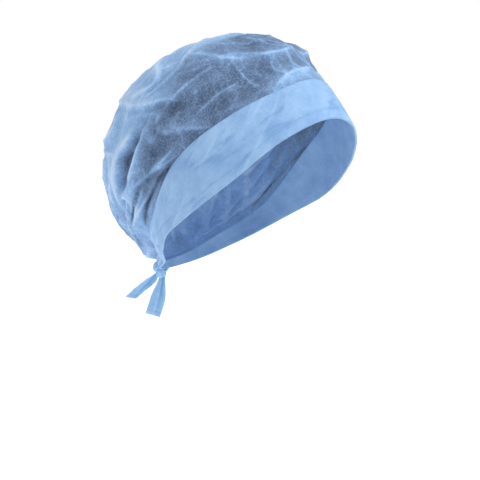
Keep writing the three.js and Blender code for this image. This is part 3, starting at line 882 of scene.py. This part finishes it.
def overhand_path(centre, half):
    """The tie's middle line round an overhand knot, inside a box with this centre and half size."""
    turn = np.linspace(0, 2 * np.pi, KNOT_STEPS + 1)[:-1]
    x = np.sin(turn) + 2 * np.sin(2 * turn)
    y = np.cos(turn) - 2 * np.cos(2 * turn)
    z = -np.sin(3 * turn)
    return np.stack([x, z, y], -1) * np.array([1 / 3, 0.55, 1 / 3]) * (half - KNOT_ROOM) + centre


class CAP_OT_knot(Operator):
    """Makes the knot that the two ties are drawn into"""

    bl_idname = "cap.knot"
    bl_label = "Knot"

    def execute(self, context):
        settings = context.scene.cap_ties
        low, high = (np.array(corner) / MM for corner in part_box("knot"))
        centre, half = (low + high) / 2, (high - low) / 2
        path = overhand_path(centre, half)
        along = np.roll(path, -1, 0) - np.roll(path, 1, 0)
        along /= np.linalg.norm(along, axis=1, keepdims=True)
        away = path - centre
        away -= along * (away * along).sum(1, keepdims=True)
        away /= np.linalg.norm(away, axis=1, keepdims=True)
        side = np.cross(along, away)
        around = 2 * np.pi * np.arange(KNOT_SIDES) / KNOT_SIDES
        pleat = np.cos(KNOT_PLEATS * around)
        thick, wide = (size * (1 + 0.10 * pleat) for size in KNOT_TIE)
        points = path[:, None] + away[:, None] * (thick * np.cos(around))[:, None]
        points = points + side[:, None] * (wide * np.sin(around))[:, None]
        rows, count = points.shape[:2]
        faces = ring_faces(rows, count)
        last = (rows - 1) * count
        faces += [(last + k, last + (k + 1) % count, (k + 1) % count, k) for k in range(count)]
        # A painted highlight on the pleats' crests.
        crest = np.broadcast_to(0.6 * np.clip(pleat, 0, 1), (rows, count))
        flat = points.reshape(-1, 3)
        span = (flat.max(0) - flat.min(0)) / 2
        middle = centre + KNOT_ASIDE
        flat = middle + (flat - flat.min(0) - span) * half * KNOT_LOOSE / span
        piece = mesh_piece("knot_cloth", flat, faces, tie_cloth(settings), (("crest", crest.ravel()),))
        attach(piece, HEAD_BODY)
        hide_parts("knot")
        return {"FINISHED"}


# Each free end bends from its root past a second point to its tip, measured from the knot's middle in
# millimetres. It widens from its root, the faster the larger its flare.
Tail = namedtuple("Tail", "node root bend tip across root_width tip_width flare")
TAILS = (
    Tail(
        node="tie_tail_right",
        root=(-3.5, 2.8, -5.25),
        bend=(-5.5, 12.0, -12.0),
        tip=(-9.4, 25.9, -25.7),
        across=(0.89, 0.15, -0.43),
        root_width=4,
        tip_width=11.5,
        flare=2.4,
    ),
    Tail(
        node="tie_tail_left",
        root=(3.1, 0.9, -6.85),
        bend=(4.5, 6.5, -21.0),
        tip=(4.7, 15.8, -40.6),
        across=(0.72, -0.67, -0.18),
        root_width=4.5,
        tip_width=12,
        flare=1.5,
    ),
)


class CAP_OT_tails(Operator):
    """Makes the two free ends of the ties"""

    bl_idname = "cap.tails"
    bl_label = "Tie tails"

    def execute(self, context):
        settings = context.scene.cap_ties
        knot = middle_of("knot")
        t = np.linspace(0, 1, 70)[:, None]
        for tail in TAILS:
            root, bend, tip = (np.array(place) for place in (tail.root, tail.bend, tail.tip))
            hidden_start = 0.55 * root  # inside the knot
            line = (1 - t) ** 2 * hidden_start + 2 * t * (1 - t) * bend + t * t * tip + knot
            rest = np.linalg.norm(line - line[-1], axis=1)
            widening = (tail.tip_width - tail.root_width) * smooth(tail.flare * t[:, 0])
            half = (tail.root_width + widening) / 2
            crease = 2.4 * (1 - 0.75 * t[:, 0]) + 0.5 * np.sin(5 * t[:, 0])
            stitch = peak(rest, settings.hem / MM, 0.5)
            wall = settings.tape / MM / 2 * (1 - 0.35 * stitch)
            points, faces, loop = ribbon(line, np.array(tail.across), half, wall[:, None], crease)
            # Painted shade beside the crease near the root, and a painted highlight along the crease and the
            # edges; darker along the stitches.
            shadow = (1 - t) * np.exp(-np.abs(loop - 0.25) / 0.16)
            crest = 0.5 * np.exp(-np.abs(loop) / 0.12) + 0.5 * loop**6 - 1.5 * shadow - 0.4 * stitch[:, None]
            name, rings = tail.node + "_cloth", points.reshape(-1, 3)
            piece = mesh_piece(name, rings, faces, tie_cloth(settings), (("crest", crest),))
            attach(piece, HEAD_BODY)
            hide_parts(tail.node)
        return {"FINISHED"}


def stage_mesh(name, corners, faces, material):
    """A plain object from corners in metres."""
    mesh = bpy.data.meshes.new(name)
    mesh.from_pydata(corners, [], faces)
    mesh.materials.append(material)
    made = bpy.data.objects.new(name, mesh)
    bpy.context.scene.collection.objects.link(made)
    return made


def soft_lamp(name, place, size, watts):
    """A square lamp that faces the cap."""
    lamp = bpy.data.lights.new(name, "AREA")
    lamp.size = size
    lamp.energy = watts
    light = bpy.data.objects.new(name, lamp)
    light.location = place
    light.rotation_euler = (-place).to_track_quat("-Z", "Y").to_euler()
    bpy.context.scene.collection.objects.link(light)


AIM_RIGHT, AIM_UP = -7.1 * MM, -67.0 * MM  # where the camera looks, from the origin across its view


class CAP_OT_stage(Operator):
    """Makes the floor, the backdrop, the soft lights and the camera"""

    bl_idname = "cap.stage"
    bl_label = "Stage"

    def execute(self, context):
        settings = context.scene.cap_stage
        a, e = settings.azimuth, settings.elevation
        back = Vector((math.sin(a) * math.cos(e), -math.cos(a) * math.cos(e), math.sin(e)))
        right = Vector((math.cos(a), math.sin(a), 0))
        up = back.cross(right)
        aim = right * AIM_RIGHT + up * AIM_UP
        lens = bpy.data.cameras.new("camera")
        lens.sensor_width = 36
        lens.lens = lens.sensor_width * settings.distance / settings.width
        camera = bpy.data.objects.new("camera", lens)
        camera.location = back * settings.distance
        camera.rotation_euler = (aim - camera.location).to_track_quat("-Z", "Y").to_euler()
        context.scene.collection.objects.link(camera)
        context.scene.camera = camera
        height, reach = CAD_BOX[0].z - settings.floor_drop, settings.floor_reach
        corners = [(x * reach, y * reach, height) for x, y in ((-1, -1), (1, -1), (1, 1), (-1, 1))]
        acrylic = light_table(settings.floor_colour, settings.floor_glow)
        floor = stage_mesh("floor", corners, [(0, 1, 2, 3)], acrylic)
        walls = (-settings.wall_reach, settings.wall_reach)
        corners = [(x, y, z) for x in walls for y in walls for z in walls]
        sides = [(0, 1, 3, 2), (4, 6, 7, 5), (0, 4, 5, 1), (2, 3, 7, 6), (0, 2, 6, 4), (1, 5, 7, 3)]
        backdrop = stage_mesh("backdrop", corners, sides, lit_wall())
        # The camera alone sees it, so it changes nothing in the cap's light.
        backdrop.visible_diffuse = False
        backdrop.visible_glossy = False
        backdrop.visible_transmission = False
        backdrop.visible_shadow = False
        context.scene.view_settings.view_transform = "Standard"
        world = bpy.data.worlds.new("studio")
        world.use_nodes = True
        sky = world.node_tree.nodes["Background"].inputs
        sky["Color"].default_value = (1, 1, 1, 1)
        sky["Strength"].default_value = settings.sky
        context.scene.world = world
        soft_lamp("key", right * 1.0 + back * 0.7 + up * 1.0, 0.9, settings.key)
        soft_lamp("fill", right * -1.3 + back * 0.4 + up * 0.6, 1.2, settings.fill)
        return {"FINISHED"}


class CAP_PT_sidebar(Panel):
    """Lists the operators and their settings"""

    bl_idname = "CAP_PT_sidebar"
    bl_label = "Surgical cap"
    bl_space_type = "VIEW_3D"
    bl_region_type = "UI"
    bl_category = "Cap"

    def draw(self, context):
        for operator in OPERATORS:
            self.layout.operator(operator.bl_idname)
        for settings in SETTINGS:
            group = getattr(context.scene, settings)
            for name in group.bl_rna.properties.keys():
                if name not in ("rna_type", "name"):
                    self.layout.prop(group, name)


OPERATORS = (CAP_OT_stage, CAP_OT_headband, CAP_OT_crown, CAP_OT_knot, CAP_OT_tails)
SETTINGS = {
    "cap_crown": CapCrownSettings,
    "cap_band": CapBandSettings,
    "cap_ties": CapTieSettings,
    "cap_stage": CapStageSettings,
}


def register():
    for kind in (*SETTINGS.values(), *OPERATORS, CAP_PT_sidebar):
        bpy.utils.register_class(kind)
    for name, kind in SETTINGS.items():
        setattr(bpy.types.Scene, name, PointerProperty(type=kind))


def unregister():
    for name in SETTINGS:
        delattr(bpy.types.Scene, name)
    for kind in (CAP_PT_sidebar, *reversed(OPERATORS), *SETTINGS.values()):
        bpy.utils.unregister_class(kind)


def main():
    register()
    for operator in OPERATORS:
        group, name = operator.bl_idname.split(".")
        getattr(getattr(bpy.ops, group), name)()


if __name__ == "__main__":
    main()
